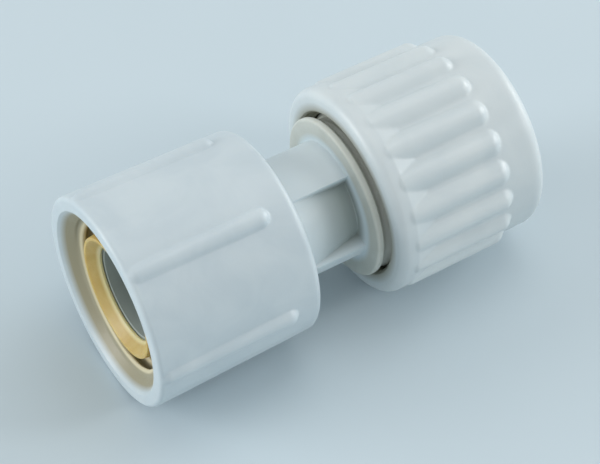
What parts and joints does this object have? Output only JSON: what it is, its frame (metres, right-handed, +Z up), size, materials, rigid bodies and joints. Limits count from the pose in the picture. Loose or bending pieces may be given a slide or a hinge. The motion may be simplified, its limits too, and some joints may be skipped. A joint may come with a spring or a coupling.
{
  "type": "swivel coupling",
  "caption": "Moulded plastic swivel coupling: a ribbed swivel nut with a female pipe thread and cone washer on a pocketed neck, and a ridged compression nut for plastic tube.",
  "frame": {"origin": "on the surface that the coupling lies on, below the middle of its length", "axes": "+X along the coupling's axis from the swivel nut's mouth to the tube's entry, +Z up from the surface"},
  "size_m": [0.0564, 0.0288, 0.0281],
  "materials": {
    "body_plastic": "satin pale grey moulding",
    "swivel_nut_plastic": "satin cool white moulding",
    "ring_plastic": "plain moulding",
    "washer_rubber": "smooth amber rubber",
    "nut_plastic": "satin warm white moulding"
  },
  "bodies": {
    "body": {"coupling_body": "body_plastic", "cone_washer": "washer_rubber"},
    "swivel_carrier": {"thrust_ring": "ring_plastic"},
    "swivel": {"swivel_nut": "swivel_nut_plastic"},
    "clamp": {"clamp_ring": "ring_plastic"},
    "nut": {"compression_nut": "nut_plastic"}
  },
  "joints": [
    {"name": "swivel_slide", "type": "slide", "parent": "body", "child": "swivel_carrier", "axis": [1, 0, 0], "range_m": [0, 0.0092]},
    {"name": "swivel_turn", "type": "hinge", "parent": "swivel_carrier", "child": "swivel", "pos_m": [0, 0, 0.01405], "axis": [1, 0, 0], "continuous": true},
    {"name": "clamp_travel", "type": "slide", "parent": "body", "child": "clamp", "axis": [1, 0, 0], "range_m": [-0.0003, 0.0075]},
    {"name": "nut_turn", "type": "hinge", "parent": "clamp", "child": "nut", "pos_m": [0, 0, 0.01405], "axis": [1, 0, 0], "range_deg": [-36, 900]}
  ],
  "couplings": [
    {"joint": "clamp_travel", "follows": "nut_turn", "m_per_rad": 0.00047746}
  ]
}
